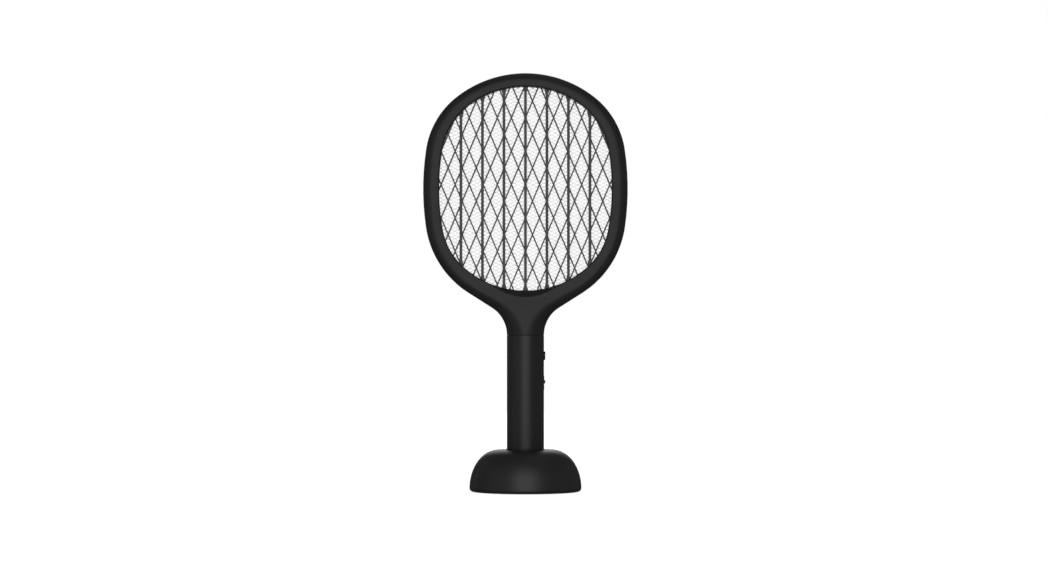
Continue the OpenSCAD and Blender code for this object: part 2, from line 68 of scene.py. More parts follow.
class Wire:
    # One socket of a node tree. Arithmetic on it adds Math nodes; node() adds any other.
    def __init__(self, tree, socket=None):
        self.tree, self.socket = tree, socket

    def node(self, kind, settings=None, inputs=None, out=0):
        made = self.tree.nodes.new(kind)
        for key, value in (settings or {}).items():
            setattr(made, key, value)
        for key, value in (inputs or {}).items():
            self.feed(made.inputs[key], value)
        return Wire(self.tree, made.outputs[out])

    def feed(self, target, value):
        if isinstance(value, Wire):
            self.tree.links.new(value.socket, target)
        else:
            target.default_value = value

    def maths(self, operation, *values):
        return self.node("ShaderNodeMath", {"operation": operation}, dict(enumerate(values)))

    def __add__(self, other):
        return self.maths("ADD", self, other)

    def __sub__(self, other):
        return self.maths("SUBTRACT", self, other)

    def __rsub__(self, other):
        return self.maths("SUBTRACT", other, self)

    def __mul__(self, other):
        return self.maths("MULTIPLY", self, other)

    def __gt__(self, other):
        return self.maths("GREATER_THAN", self, other)

    def __lt__(self, other):
        return self.maths("LESS_THAN", self, other)

    __radd__ = __add__
    __rmul__ = __mul__


def grey(level):
    return (level, level, level, 1)


def rgba(colour):
    return (*colour, 1)


def mixColour(wire, share, first, second, blend="MIX"):
    return wire.node("ShaderNodeMix", {"data_type": "RGBA", "blend_type": blend},
                     {0: share, 6: first, 7: second}, out=2)


def noise(wire, size, detail=2, roughness=0.5, place=None):
    # size is the width of one blotch in millimetres
    return wire.node("ShaderNodeTexNoise", {}, {
        "Vector": place or wire.place, "Scale": 1 / (size * mm), "Detail": detail, "Roughness": roughness})


def between(wire, value, low, high):
    # 0 below low, 1 above high, straight in between
    return wire.node("ShaderNodeMapRange", {"clamp": True},
                     {"Value": value, "From Min": low, "From Max": high})


def newMaterial(name, **constants):
    # gives a Wire that also holds the material, its shader's inputs and the object's coordinates
    material = bpy.data.materials.new(name)
    material.use_nodes = True
    tree = material.node_tree
    tree.nodes.clear()
    shader = tree.nodes.new("ShaderNodeBsdfPrincipled")
    output = tree.nodes.new("ShaderNodeOutputMaterial")
    tree.links.new(shader.outputs[0], output.inputs["Surface"])
    for key, value in constants.items():
        shader.inputs[key.replace("_", " ")].default_value = value
    wire = Wire(tree)
    wire.material, wire.skin = material, shader.inputs
    wire.place = wire.node("ShaderNodeTexCoord", out="Object")
    return wire


def tinted(wire, share, base, dark, pale):
    return mixColour(wire, share, rgba(base * dark), rgba(base * pale))


def dress(wire, colour, roughness, relief, depth, metallic=None):
    # depth is how far, in millimetres, a relief of 1 stands above a relief of 0
    raised = wire.node("ShaderNodeBump", {}, {
        "Height": relief, "Distance": depth * mm, "Strength": 1.0})
    looks = {"Base Color": colour, "Roughness": roughness, "Normal": raised}
    if metallic is not None:
        looks["Metallic"] = metallic
    for key, value in looks.items():
        wire.feed(wire.skin[key], value)
    return wire.material


def mouldedPlastic(name, colour, roughness, grain, relief=0.012, edgeWearAndSheen=0.3, shine=0.5):
    wire = newMaterial(name, IOR=1.46, Specular_IOR_Level=shine)
    blotch, handling = noise(wire, 38, 3), noise(wire, 9, 5, 0.6)
    grains = noise(wire, grain, 3, 0.6)
    pits = wire.node("ShaderNodeTexVoronoi", {"feature": "F1"},
                     {"Vector": wire.place, "Scale": 1 / (grain * 1.7 * mm)})
    # edge picks out sharp edges by pointiness; the lighter colour mixed onto them below is a painted edge
    # highlight together with handling wear, and their lower roughness is polish
    edge = between(wire, wire.node("ShaderNodeNewGeometry", out="Pointiness"), 0.53, 0.62)
    base = Vector(colour)
    tone = tinted(wire, between(wire, blotch, 0.35, 0.65), base, 0.93, 1.07)
    return dress(wire, mixColour(wire, edge * edgeWearAndSheen, tone, rgba(base * 1.9)),
                 roughness + (handling - 0.5) * 0.10 + (grains - 0.5) * 0.06 - edge * 0.08,
                 grains * 0.7 + pits * 0.3, relief)


def coatedSteel(name, colour, roughness):
    wire = newMaterial(name, IOR=1.5, Coat_Weight=0.15, Coat_Roughness=0.3)
    peel, patches = noise(wire, 1.1, 2), noise(wire, 14, 4)
    tone = tinted(wire, between(wire, patches, 0.3, 0.7), Vector(colour), 0.85, 1.15)
    return dress(wire, tone, roughness + (patches - 0.5) * 0.12, peel, 0.03)


def metal(name, colour, metallic, roughness, tarnish, stain, stretch=(1, 1, 1), relief=0.01):
    # stretch draws the grain out along one axis, as rolling, turning or drawing does
    wire = newMaterial(name)
    drawn = wire.node("ShaderNodeMapping", {}, {"Vector": wire.place, "Scale": stretch})
    lines = noise(wire, 0.5, 3, 0.6, drawn)
    dull = between(wire, noise(wire, 7, 4, 0.6), 0.45, 0.75)
    tone = mixColour(wire, dull * tarnish, tinted(wire, lines, Vector(colour), 0.92, 1.04), rgba(stain))
    return dress(wire, tone, roughness + (lines - 0.5) * 0.14 + dull * 0.1, lines, relief,
                 metallic - dull * 0.1)


def boardLaminate(name):
    # green solder mask over copper tracks, with tinned pads showing through
    wire = newMaterial(name, Coat_Weight=0.3, Coat_Roughness=0.15)
    turned = wire.node("ShaderNodeMapping", {}, {"Vector": wire.place, "Rotation": (0, pi / 2, 0)})
    tracks = wire.node("ShaderNodeTexBrick", {"offset": 0.37, "squash": 1.6, "squash_frequency": 3}, {
        "Vector": turned, "Scale": 1 / (6 * mm), "Mortar Size": 0.06, "Brick Width": 1.4,
        "Row Height": 0.33}, out="Fac")
    dots = wire.node("ShaderNodeTexVoronoi", {"feature": "F1"}, {
        "Vector": wire.place, "Scale": 1 / (3.2 * mm), "Randomness": 0.55})
    pad = 1 - between(wire, dots, 0.16, 0.2)
    weave = noise(wire, 0.6, 2)
    mask = mixColour(wire, tracks, (0.012, 0.09, 0.04, 1), (0.02, 0.16, 0.065, 1))
    return dress(wire, mixColour(wire, pad, mask, (0.72, 0.73, 0.74, 1)),
                 0.34 + pad * 0.06 + (weave - 0.5) * 0.1,
                 tracks * 0.5 + pad * 0.8 + weave * 0.1, 0.05, pad * 0.9)


def axisOf(wire, axis):
    return wire.node("ShaderNodeSeparateXYZ", {}, {"Vector": wire.place}, out=axis)


def shrinkWrap(name):
    # printed-film blue sleeve with a lapped seam and a plain pale band
    wire = newMaterial(name, Coat_Weight=0.5, Coat_Roughness=0.12)
    x, height = axisOf(wire, "X"), axisOf(wire, "Z")
    low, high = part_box("battery_cell")
    band = (height > low.z + 0.78 * (high.z - low.z)) * (height < low.z + 0.86 * (high.z - low.z))
    terminal = height > high.z - 1.3 * mm
    seam = (x > 0) * (x < 0.6 * mm)
    wrinkle = noise(wire, 5, 4)
    film = mixColour(wire, wrinkle, (0.03, 0.11, 0.30, 1), (0.05, 0.16, 0.40, 1))
    film = mixColour(wire, band, film, (0.55, 0.57, 0.6, 1))
    return dress(wire, mixColour(wire, terminal, film, (0.7, 0.7, 0.72, 1)),
                 0.28 + (wrinkle - 0.5) * 0.15, wrinkle + seam, 0.06, terminal * 0.9)


def windingTape(name):
    wire = newMaterial(name, Coat_Weight=0.4, Coat_Roughness=0.2)
    laps = wire.node("ShaderNodeTexWave", {"bands_direction": "Z"}, {
        "Vector": wire.place, "Scale": 1 / (9 * mm), "Distortion": 0.6, "Detail": 2}, out="Fac")
    mottle = noise(wire, 3, 3)
    tone = mixColour(wire, mottle, (0.62, 0.42, 0.05, 1), (0.78, 0.56, 0.1, 1))
    return dress(wire, tone, 0.36 + (mottle - 0.5) * 0.1, laps, 0.08)


def dippedEpoxy(name, colour):
    wire = newMaterial(name, Coat_Weight=0.6, Coat_Roughness=0.1)
    runs = noise(wire, 2.4, 3)
    tone = tinted(wire, runs, Vector(colour), 0.8, 1.2)
    return dress(wire, tone, 0.3 + (runs - 0.5) * 0.2, runs, 0.12)


def softRubber(name, colour, roughness):
    wire = newMaterial(name, IOR=1.5, Sheen_Weight=0.08, Sheen_Roughness=0.6)
    dust = between(wire, noise(wire, 11, 6, 0.65), 0.48, 0.8)
    return dress(wire, tinted(wire, dust * 0.4, Vector(colour), 1, 2.2),
                 roughness + dust * 0.08, noise(wire, 0.7, 3), 0.05)


def clearPlastic(name):
    wire = newMaterial(
        name, IOR=1.49, Transmission_Weight=0.75, Coat_Weight=0.2, Coat_Roughness=0.1)
    haze = noise(wire, 1.5, 3)
    return dress(wire, mixColour(wire, haze, (0.78, 0.82, 0.84, 1), (0.9, 0.93, 0.95, 1)),
                 0.18 + haze * 0.14, haze, 0.02)


def bandedDiode(name):
    # black moulded body, a pale band at the cathode end and tinned legs
    wire = newMaterial(name)
    height = axisOf(wire, "Z")
    low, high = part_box("hv_diodes")
    span = high.z - low.z
    band = (height > low.z + 0.68 * span) * (height < low.z + 0.8 * span)
    leg = (height > high.z - 0.13 * span) + (height < low.z + 0.13 * span)
    speck = noise(wire, 0.4, 2)
    body = mixColour(wire, speck, (0.018, 0.018, 0.02, 1), (0.03, 0.03, 0.032, 1))
    body = mixColour(wire, band, body, (0.6, 0.6, 0.6, 1))
    return dress(wire, mixColour(wire, leg, body, (0.7, 0.7, 0.68, 1)),
                 0.45 - leg * 0.12 + (speck - 0.5) * 0.1, speck, 0.02, leg * 0.9)


satinBlack = (0.0098, 0.0098, 0.0101)
# plastics are given by colour, roughness and grain in millimetres, metals by colour, metallic, roughness
paints = {
    "frame_plastic": mouldedPlastic("satinFrame", satinBlack, 0.46, 0.45, shine=0.4),
    "handle_plastic": mouldedPlastic("satinHandle", satinBlack, 0.43, 0.45),
    "base_plastic": mouldedPlastic("satinBase", satinBlack, 0.42, 0.5, shine=0.58),
    "guard_plastic": mouldedPlastic("greyGuard", (0.034, 0.034, 0.034), 0.5, 0.3, relief=0.01),
    "spacer_plastic": mouldedPlastic("spacerNylon", (0.03, 0.03, 0.031), 0.5, 0.4, edgeWearAndSheen=0.1),
    "control_plastic": mouldedPlastic("softTouchControl", (0.008, 0.008, 0.0085), 0.5, 0.3),
    "plunger_plastic": mouldedPlastic("whiteAcetal", (0.62, 0.6, 0.55), 0.35, 0.6, relief=0.006, edgeWearAndSheen=0),
    "component_black": mouldedPlastic(
        "moulding_compound", (0.02, 0.02, 0.021), 0.55, 0.2, relief=0.02, edgeWearAndSheen=0.1),
    "lead_insulation": softRubber("redSilicone", (0.36, 0.025, 0.02), 0.5),
    "pad_rubber": softRubber("blackRubber", (0.012, 0.012, 0.012), 0.8),
    "grille_steel": coatedSteel("blackCoatedSteel", (0.022, 0.022, 0.023), 0.42),
    "grid_aluminium": metal("brightAluminium", (0.74, 0.745, 0.75), 0.55, 0.38, tarnish=0.25,
                            stain=(0.55, 0.55, 0.55), stretch=(1, 1, 6)),
    "screw_steel": metal("zincScrew", (0.52, 0.53, 0.55), 0.95, 0.34, tarnish=0.3,
                         stain=(0.3, 0.28, 0.24)),
    "spring_steel": metal("springSteel", (0.62, 0.63, 0.64), 1.0, 0.28, tarnish=0.2,
                          stain=(0.35, 0.33, 0.3)),
    "switch_metal": metal("tinnedCan", (0.66, 0.67, 0.68), 0.95, 0.32, tarnish=0.2,
                          stain=(0.4, 0.4, 0.38), stretch=(1, 5, 1)),
    "contact_brass": metal("goldFlashedBrass", (0.80, 0.58, 0.24), 1.0, 0.26, tarnish=0.3,
                           stain=(0.42, 0.28, 0.1)),
    "ballast_steel": metal("rolledBallast", (0.36, 0.37, 0.38), 0.9, 0.45, tarnish=0.6,
                           stain=(0.16, 0.12, 0.09), stretch=(1, 8, 1), relief=0.04),
    "board_green": boardLaminate("boardLaminate"),
    "cell_wrap": shrinkWrap("cellSleeve"),
    "transformer_tape": windingTape("yellowTape"),
    "capacitor_coat": dippedEpoxy("brownEpoxy", (0.20, 0.045, 0.02)),
    "light_pipe": clearPlastic("frostedAcrylic"),
}
print("finishes made:", len(paints))


# Shapes are drawn in millimetres and made metres by addPiece.

def corner(before, here, after, radius, stepAngle):
    toBefore, toAfter = (before - here).normalized(), (after - here).normalized()
    half = toBefore.angle(toAfter) / 2
    centre = here + (toBefore + toAfter).normalized() * radius / sin(half)
    start = here + toBefore * radius / tan(half) - centre
    end = here + toAfter * radius / tan(half) - centre
    sweep = atan2(start.x * end.y - start.y * end.x, start.dot(end))
    steps = max(2, ceil(abs(degrees(sweep)) / stepAngle))
    return [centre + Matrix.Rotation(sweep * k / steps, 2) @ start for k in range(steps + 1)]


def path(corners, closed=True, stepAngle=18):
    # corners are (across, up) or (across, up, rounding radius)
    flat = [Vector(c[:2]) for c in corners]
    points = []
    for i, c in enumerate(corners):
        inside = closed or 0 < i < len(corners) - 1
        if len(c) == 3 and inside:
            points += corner(flat[i - 1], flat[i], flat[(i + 1) % len(flat)], c[2], stepAngle)
        else:
            points.append(flat[i])
    return points


def chain(bm, points, closed=False):
    verts = [bm.verts.new(p) for p in points]
    pairs = list(zip(verts, verts[1:])) + ([(verts[-1], verts[0])] if closed else [])
    return verts, [bm.edges.new(pair) for pair in pairs]


def tidy(bm):
    bmesh.ops.remove_doubles(bm, verts=bm.verts, dist=0.002)
    bmesh.ops.dissolve_degenerate(bm, edges=bm.edges, dist=0.001)
    bmesh.ops.recalc_face_normals(bm, faces=bm.faces)
    return bm


def lathe(points, steps=96, closed=True):
    # turns an outline of (radius, height) points round the upright axis
    bm = bmesh.new()
    verts, edges = chain(bm, [(p[0], 0, p[1]) for p in points], closed)
    bmesh.ops.spin(bm, geom=verts + edges, cent=(0, 0, 0), axis=(0, 0, 1), dvec=(0, 0, 0),
                   angle=2 * pi, steps=steps, use_merge=True)
    return tidy(bm)


def turning(corners, steps):
    return lathe(path(corners, False), steps, False)


def rod(radius, low, high, steps=48):
    return lathe([(0, low), (radius, low), (radius, high), (0, high)], steps, False)


def prism(points, low, high):
    # an outline of (across, up) points, drawn out along Y from low to high
    bm = bmesh.new()
    verts = [bm.verts.new((p[0], low, p[1])) for p in points]
    face = bm.faces.new(verts)
    drawn = bmesh.ops.extrude_face_region(bm, geom=[face], use_keep_orig=True)["geom"]
    moved = [v for v in drawn if isinstance(v, bmesh.types.BMVert)]
    bmesh.ops.translate(bm, vec=(0, high - low, 0), verts=moved)
    return tidy(bm)


def block(low, high, rounding=0.0, segments=3):
    bm = bmesh.new()
    bmesh.ops.create_cube(bm, size=1)
    low, high = Vector(low), Vector(high)
    bmesh.ops.scale(bm, vec=high - low, verts=bm.verts)
    bmesh.ops.translate(bm, vec=(low + high) / 2, verts=bm.verts)
    if rounding:
        roundEdges(bm, rounding, segments)
    return bm


def roundEdges(bm, width, segments=2, sharperThan=40, where=None):
    limit = radians(sharperThan)
    edges = [e for e in bm.edges if e.is_manifold and e.calc_face_angle(0) > limit
             and (where is None or where((e.verts[0].co + e.verts[1].co) / 2))]
    if edges:
        bmesh.ops.bevel(bm, geom=edges, offset=width, offset_type="OFFSET", segments=segments,
                        profile=0.5, affect="EDGES", clamp_overlap=True, material=-1)
    return bm


def placed(bm, matrix):
    bmesh.ops.transform(bm, matrix=matrix, verts=bm.verts)
    return bm


def moveTo(x, y, z):
    return Matrix.Translation((x, y, z))


def stoodAt(shape, place):
    return placed(shape, moveTo(place[0], place[1], 0))


def turn(angle, axis):
    return Matrix.Rotation(radians(angle), 4, axis)


def joined(shapes):
    # several shapes in one mesh, each left whole
    whole = bmesh.new()
    for shape in shapes:
        scratch = bpy.data.meshes.new("scratch")
        shape.to_mesh(scratch)
        shape.free()
        whole.from_mesh(scratch)
        bpy.data.meshes.remove(scratch)
    return whole


def combined(shape, tools, operation="DIFFERENCE"):
    # exact boolean of one closed shape with others
    scratch = []
    for part in (shape, joined(tools)):
        mesh = bpy.data.meshes.new("scratch")
        part.to_mesh(mesh)
        part.free()
        scratch.append(bpy.data.objects.new("scratch", mesh))
        scene.collection.objects.link(scratch[-1])
    cut = scratch[0].modifiers.new("cut", "BOOLEAN")
    cut.operation, cut.solver, cut.object = operation, "EXACT", scratch[1]
    made = bmesh.new()
    made.from_object(scratch[0], bpy.context.evaluated_depsgraph_get())
    for obj in scratch:
        mesh = obj.data
        bpy.data.objects.remove(obj)
        bpy.data.meshes.remove(mesh)
    bmesh.ops.remove_doubles(made, verts=made.verts, dist=0.002)
    return made


def addPiece(name, bm, node, stands=True, material=None, slot=None, smooth=32):
    # makes the shape an object that takes its body, slot and finish from a CAD node
    bmesh.ops.scale(bm, vec=(mm, mm, mm), verts=bm.verts)
    mesh = bpy.data.meshes.new(name)
    bm.to_mesh(mesh)
    bm.free()
    mesh.shade_smooth()
    mesh.set_sharp_from_angle(angle=radians(smooth))
    obj = bpy.data.objects.new(name, mesh)
    scene.collection.objects.link(obj)
    slot = slot or slotOf[node]
    mesh.materials.append(material or paints[slot])
    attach(obj, bodyOf[node])
    if stands:
        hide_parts(node)
    return obj


def solidsOf(node):
    # the box, in millimetres, of each separate solid in a CAD node
    bm = bmesh.new()
    bm.from_mesh(nodes[node].data)
    bmesh.ops.remove_doubles(bm, verts=bm.verts, dist=1e-6)
    left, boxes = set(bm.verts), []
    while left:
        found, edge = set(), [next(iter(left))]
        while edge:
            vert = edge.pop()
            if vert not in found:
                found.add(vert)
                edge += [e.other_vert(vert) for e in vert.link_edges]
        left -= found
        low = Vector(min(v.co[i] for v in found) for i in range(3)) / mm
        high = Vector(max(v.co[i] for v in found) for i in range(3)) / mm
        boxes.append((low, high))
    bm.free()
    return sorted(boxes, key=lambda box: tuple(round(c, 2) for c in box[0]))


def centresOf(node):
    return [(low + high) / 2 for low, high in solidsOf(node)]


def wirePiece(name, node, lines, radius, sides=3, **more):
    # round wire along lines of (x, y, z) points
    curve = bpy.data.curves.new(name, "CURVE")
    curve.dimensions, curve.bevel_depth = "3D", radius
    curve.bevel_resolution, curve.use_fill_caps = sides, True
    for points in lines:
        spline = curve.splines.new("POLY")
        spline.points.add(len(points) - 1)
        for point, target in zip(spline.points, points):
            point.co = (*target, 1)
    obj = bpy.data.objects.new(name, curve)
    scene.collection.objects.link(obj)
    drawn = obj.evaluated_get(bpy.context.evaluated_depsgraph_get())
    scratch = bpy.data.meshes.new_from_object(drawn)
    bm = bmesh.new()
    bm.from_mesh(scratch)
    bpy.data.objects.remove(obj)
    bpy.data.curves.remove(curve)
    bpy.data.meshes.remove(scratch)
    return addPiece(name, tidy(bm), node, **more)


cameraLook = {"distance": 3.993, "height": 0.215, "aside": -0.0015, "lens": 132.2, "sensor": 36}


def makeCamera():
    data = bpy.data.cameras.new("camera")
    data.lens, data.sensor_width = cameraLook["lens"], cameraLook["sensor"]
    camera = bpy.data.objects.new("camera", data)
    scene.collection.objects.link(camera)
    camera.location = (cameraLook["aside"], -cameraLook["distance"], cameraLook["height"])
    camera.rotation_euler = (pi / 2, 0, 0)
    scene.camera = camera
    scene.view_settings.view_transform = "Standard"


# each box: azimuth and elevation in degrees as seen from the swatter, 0 being the front and positive
# its +X side; distance, width and height in metres; radiance; and whether reflections show it
softboxes = {
    "frontBox": (-1, 9, 2.4, 1.95, 3.0, 1.32, True),
    "frontFill": (0, 15, 3, 4, 3, 0.3, False),
    "leftBox": (-65, 5, 2.2, 1.8, 2.2, 0.18, True),
    "rightBox": (85, 5, 2.2, 1.8, 2.2, 0.06, True),
    "backLeftBox": (-128, 8, 2.2, 0.8, 1.8, 0.12, True),
    "backRightBox": (128, 8, 2.2, 0.8, 1.8, 0.09, True),
    "backBox": (180, 10, 2.4, 1.3, 2.4, 1.1, True),
    "topBox": (150, 72, 2.0, 1.5, 1.2, 0.2, True),
}
ambient = {"diffuse": 0.75, "shiny": 0.05}


def makeLights():
    middle = Vector((0, 0, 0.2))
    for name, (azimuth, up, far, wide, high, bright, shiny) in softboxes.items():
        data = bpy.data.lights.new(name, "AREA")
        data.shape, data.size, data.size_y = "RECTANGLE", wide, high
        data.energy = pi * wide * high * bright
        light = bpy.data.objects.new(name, data)
        scene.collection.objects.link(light)
        light.visible_camera, light.visible_glossy = False, shiny
        a, e = radians(azimuth), radians(up)
        away = Vector((sin(a) * cos(e), -cos(a) * cos(e), sin(e)))
        light.location = middle + away * far
        light.rotation_euler = away.to_track_quat("Z", "Y").to_euler()
    # white behind the swatter, kept low in reflections so that its outline stays dark
    world = bpy.data.worlds.new("studio")
    scene.world = world
    world.use_nodes = True
    tree = world.node_tree
    tree.nodes.clear()
    wire = Wire(tree)
    seen = wire.node("ShaderNodeLightPath", out="Is Camera Ray")
    shiny = wire.node("ShaderNodeLightPath", out="Is Glossy Ray")
    diffuse = ambient["diffuse"]
    strength = diffuse + seen * (1 - diffuse) - shiny * (diffuse - ambient["shiny"])
    backdrop = wire.node("ShaderNodeBackground", {}, {"Color": grey(1), "Strength": strength})
    output = tree.nodes.new("ShaderNodeOutputWorld")
    wire.feed(output.inputs["Surface"], backdrop)


floorLook = {"radius": 9, "glow": 0.8, "dark": 0.34, "pale": 0.36, "blotch": 400}


def makeFloor():
    bm = bmesh.new()
    bmesh.ops.create_circle(bm, cap_ends=True, segments=96, radius=floorLook["radius"])
    mesh = bpy.data.meshes.new("floor")
    bm.to_mesh(mesh)
    bm.free()
    floor = bpy.data.objects.new("floor", mesh)
    scene.collection.objects.link(floor)
    wire = newMaterial(
        "paleFloor", Roughness=0.9, Emission_Strength=floorLook["glow"], Emission_Color=grey(1))
    blotch = noise(wire, floorLook["blotch"], 3)
    tone = mixColour(wire, blotch, grey(floorLook["dark"]), grey(floorLook["pale"]))
    wire.feed(wire.skin["Base Color"], tone)
    mesh.materials.append(wire.material)
    floor.visible_glossy = floor.visible_diffuse = floor.visible_shadow = False


makeCamera()
makeLights()
makeFloor()
print("camera, lights and floor made")


# Outlines run clockwise from the top centre: (radius, heading at the arc's end in degrees).
head = {
    "arcs": ((115.7, 38.2), (85.2, 81.5), (277, 98.2), (97.7, 147.6)),
    "openingArcs": ((98, 33), (75, 81), (245, 100), (68, 138)),
    "neckFillet": 33.5,
    "headingStep": 2.5,
    "crown": 11,
    "roundedEdge": 9,
    "neckBlend": 59,
    "wall": 2,
    "lipRound": 1.6,
    "lipBottom": 6,
    "crescentDrop": 5.7,
    "crescentHalfWidth": 38,
    "flankOpening": 167,
    "skinSteps": 14,
    "flankSteps": 6,
    "filletSteps": 24,
    "lipFilletSteps": 6,
    "lipSteps": 5,
    "seamRound": 0.16,
}
guardBorder = 5
headTop = boxMm("front_frame")[1].z
neckSeam = boxMm("front_frame")[0].z
handleRadius = boxMm("handle_tube")[1].x
openingTop = boxMm("front_rib_guard")[1].z - guardBorder


def reach(arcs, heading):
    at, turned = Vector((0, 0)), 0
    for radius, end in arcs:
        upTo = min(heading, end)
        if upTo > turned:
            a, b = radians(turned), radians(upTo)
            at += radius * Vector((sin(b) - sin(a), cos(b) - cos(a)))
            turned = upTo
    return at


lastHeading = head["openingArcs"][-1][1]
closingRadius = reach(head["openingArcs"], lastHeading).x / sin(radians(lastHeading))
openingLoop = head["openingArcs"] + ((closingRadius, 180),)


def openingPoint(heading, grow=0.0):
    return Vector((0, openingTop + grow)) + reach([(r + grow, end) for r, end in openingLoop], heading)


def headStations():
    # a list of (point on the outline, heading of the opening beside it), and how many lie on the ring
    top, turned, found = Vector((0, headTop)), 0, []
    for radius, end in head["arcs"]:
        steps = round((end - turned) / head["headingStep"])
        headings = [turned + (end - turned) * k / steps for k in range(steps)]
        found += [(top + reach(head["arcs"], h), h) for h in headings]
        turned = end
    flank = radians(turned)
    start, down = top + reach(head["arcs"], turned), Vector((cos(flank), -sin(flank)))
    fillet = head["neckFillet"]
    length = (start.x - fillet * (1 - sin(flank)) - handleRadius) / -down.x
    for k in range(head["flankSteps"]):
        share = k / head["flankSteps"]
        found.append((start + down * length * share, turned + (head["flankOpening"] - turned) * share))
    filletSteps, lipSteps = head["filletSteps"], head["lipFilletSteps"]
    for k in range(filletSteps + 1):
        a = flank + k / filletSteps * (pi / 2 - flank)
        point = start + down * length - fillet * Vector(
            (sin(a) - sin(flank), cos(a) - cos(flank)))
        share = min(1, k / lipSteps)
        found.append((point, head["flankOpening"] + share * (180 - head["flankOpening"])))
    return found, len(found) - (filletSteps - lipSteps)


stations, ringCount = headStations()
outline = [point for point, heading in stations]


def edgeDistance(point):
    best = 1e9
    for a, b in zip(outline, outline[1:]):
        along = b - a
        share = max(0, min(1, (point - a).dot(along) / along.length_squared))
        best = min(best, (point - a - along * share).length)
    return best


def skinHeight(point):
    # half depth of the head: flat crown, rounded edge, turning into the round handle below
    share = max(0, min(1, (point.y - neckSeam) / head["neckBlend"]))
    share = 1 - share * share * (3 - 2 * share)
    top = head["crown"] + share * (handleRadius - head["crown"])
    edge = head["roundedEdge"] + share * (handleRadius - head["roundedEdge"])
    u = 1 - min(edge, edgeDistance(point)) / edge
    return top * sqrt(1 - u * u)


def setback(heading):
    # the crescent slope lies behind the opening's lower edge and fades out to both sides
    x = openingPoint(heading).x
    return 0 if heading < 90 else (
        head["crescentDrop"] * max(0, 1 - (x / head["crescentHalfWidth"]) ** 2) ** 1.5)


def frameSkin():
    # outer skin of the front half, one side lofted from section to section, then mirrored
    bm = bmesh.new()
    steps, lipSteps, lipRound = head["skinSteps"], head["lipSteps"], head["lipRound"]
    skins, lips = [], []
    for i, (rim, heading) in enumerate(stations):
        back = setback(heading)
        lip = openingPoint(heading, back + lipRound)
        lipHeight = skinHeight(lip)
        start = lip
        if i >= ringCount:
            share = (i - ringCount + 1) / (len(stations) - ringCount)
            start = Vector((0, lip.y + (neckSeam - lip.y) * share))
        line = []
        for j in range(steps, -1, -1):
            point = rim + (start - rim) * (1 - cos(pi / 2 * j / steps))
            line.append((point.x, -skinHeight(point) if j else 0, point.y))
        skins.append(chain(bm, line)[1])
        if i < ringCount:
            foot = openingPoint(heading)
            line = [(foot.x, -head["lipBottom"], foot.y)]
            for k in range(lipSteps + 1):
                a = pi / 2 * k / lipSteps
                point = openingPoint(heading, back + lipRound * (1 - cos(a)))
                line.append((point.x, -lipHeight + lipRound * (1 - sin(a)), point.y))
            lips.append(chain(bm, line)[1])
    for lines in (skins, lips):
        for first, second in zip(lines, lines[1:]):
            bmesh.ops.bridge_loops(bm, edges=first + second)
    bmesh.ops.remove_doubles(bm, verts=bm.verts, dist=0.002)
    for vert in bm.verts:
        if abs(vert.co.x) < 0.002:
            vert.co.x = 0
    bmesh.ops.mirror(bm, geom=bm.verts[:] + bm.edges[:] + bm.faces[:], matrix=Matrix.Identity(4),
                     merge_dist=0.002, axis="X")
    bmesh.ops.remove_doubles(bm, verts=bm.verts, dist=0.002)
    bmesh.ops.recalc_face_normals(bm, faces=bm.faces)
    crownFace = max(bm.faces, key=lambda f: -f.calc_center_median().y)
    if crownFace.normal.y > 0:
        bmesh.ops.reverse_faces(bm, faces=bm.faces)
    return bm


screwWell = {"boss": 3, "bossFoot": 0.05, "bossTop": 9.2, "seat": 6, "well": 2.5, "shaft": 1.4,
             "pilot": 1.05, "pilotDeep": 5.6, "chamfer": 0.35, "start": -1, "clear": 13}
screwSites = centresOf("frame_screws")


def standing(shape, site, flip=1):
    # a shape drawn along +Z, stood along +Y (or -Y) at a screw's place
    return placed(shape, moveTo(site.x, 0, site.z) @ turn(-90 * flip, "X"))


def screwHole():
    # clearance for the shaft, a seat for the head and a chamfered mouth at the crown
    w, lipZ = screwWell, head["crown"] - 0.1
    mouth = w["well"] + w["chamfer"]
    shaft, well = w["shaft"], w["well"]
    return lathe([(0, w["start"]), (shaft, w["start"]), (shaft, w["seat"]), (well, w["seat"]),
                  (well, lipZ - w["chamfer"]), (mouth, lipZ), (mouth, w["clear"]),
                  (0, w["clear"])], 32, False)


def makeFrameHalf(name, node, rear):
    bm = frameSkin()
    bmesh.ops.solidify(bm, geom=bm.faces[:], thickness=head["wall"])
    bmesh.ops.recalc_face_normals(bm, faces=bm.faces)
    for vert in bm.verts:
        vert.co.y, vert.co.z = min(vert.co.y, 0), max(vert.co.z, neckSeam)
    if rear:
        bmesh.ops.scale(bm, vec=(1, -1, 1), verts=bm.verts)
        bmesh.ops.reverse_faces(bm, faces=bm.faces)
    w, side = screwWell, 1 if rear else -1
    bosses = [standing(rod(w["boss"], w["bossFoot"], w["bossTop"], 32), site, side)
              for site in screwSites]
    bm = combined(bm, bosses, "UNION")
    holes = [screwHole() if rear else rod(w["pilot"], w["start"], w["pilotDeep"], 24)
             for site in screwSites]
    holes = [standing(hole, site, side) for hole, site in zip(holes, screwSites)]
    bm = combined(bm, holes)
    roundEdges(bm, head["seamRound"], 2, 60, lambda p: abs(p.y) < 0.01 and edgeDistance(
        Vector((abs(p.x), p.z))) < 0.05 or p.z < neckSeam + 0.01)
    return addPiece(name, bm, node)


makeFrameHalf("head_front_shell", "front_frame", False)
makeFrameHalf("head_rear_shell", "rear_frame", True)
print("frame halves made")


# crossing is the height of one crossing on the centre line; wave is a share of the room in the CAD
sheets = {
    "grille": {"wide": 14.58, "high": 34.64, "strand": 1.35, "thick": 1.0, "crossing": 318.7,
               "wave": 0.0, "round": 0.2, "cells": 34},
    "charged": {"wide": 7.7, "high": 3.85, "strand": 0.66, "thick": 0.3, "crossing": 314.4,
                "wave": 0.3, "round": 0.0, "cells": 92},
}


